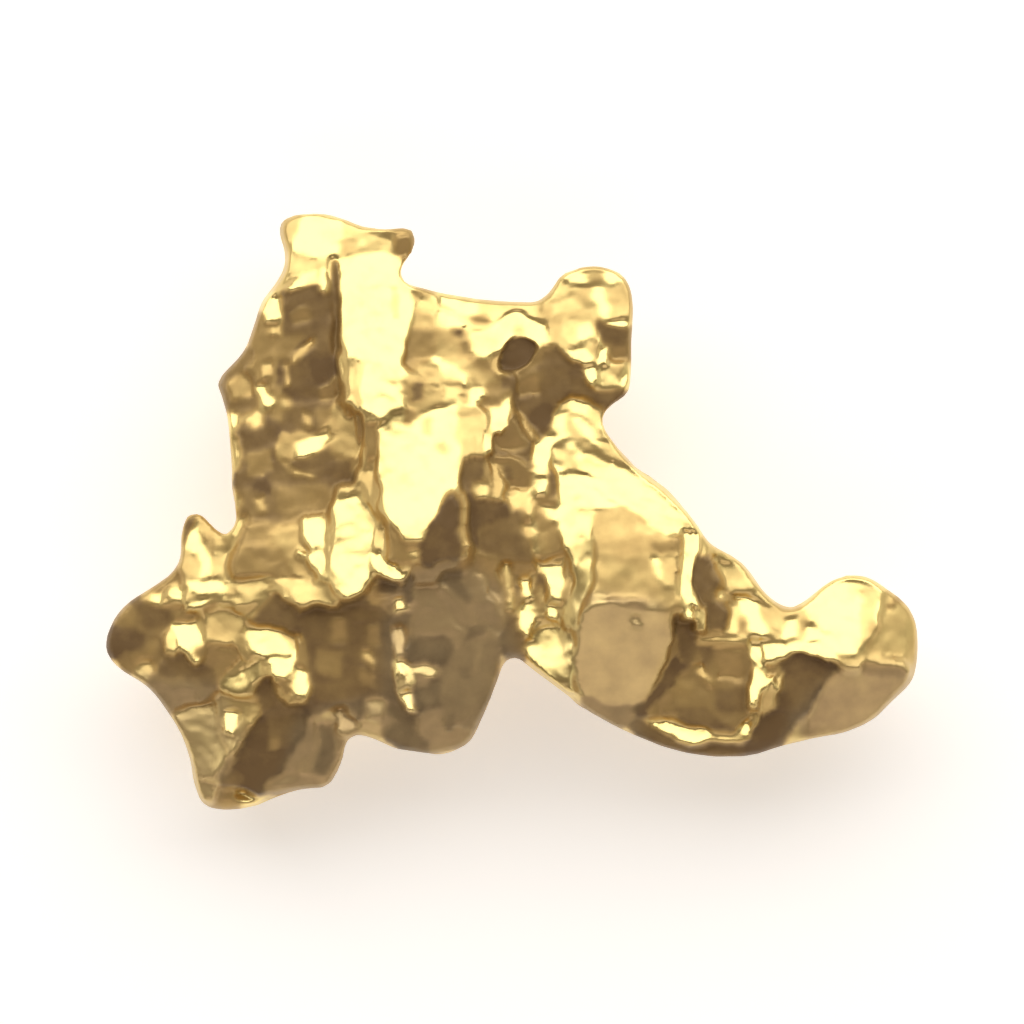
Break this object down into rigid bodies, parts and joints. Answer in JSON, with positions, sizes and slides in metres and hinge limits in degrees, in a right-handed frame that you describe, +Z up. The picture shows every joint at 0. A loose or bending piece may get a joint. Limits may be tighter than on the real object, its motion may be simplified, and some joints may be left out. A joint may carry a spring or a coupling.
{
  "type": "gold nugget",
  "caption": "Lumpy native gold nugget with a ridged tower, a bent arm with a round end, lobes, hollows and a worn underside to rest on.",
  "frame": {"origin": "centre of the nugget's bounding box, on the surface it lies on", "axes": "+Z up, away from the surface it rests on; +X along its length, towards the round end of the arm; +Y towards the head of the tower"},
  "size_m": [0.0162, 0.012, 0.0051],
  "materials": {
    "native gold": "bright natural gold metal, smooth and molten-looking on the high facets, browner and duller in the hollows"
  },
  "bodies": {
    "root": {"gold_nugget": "native gold"}
  },
  "joints": []
}
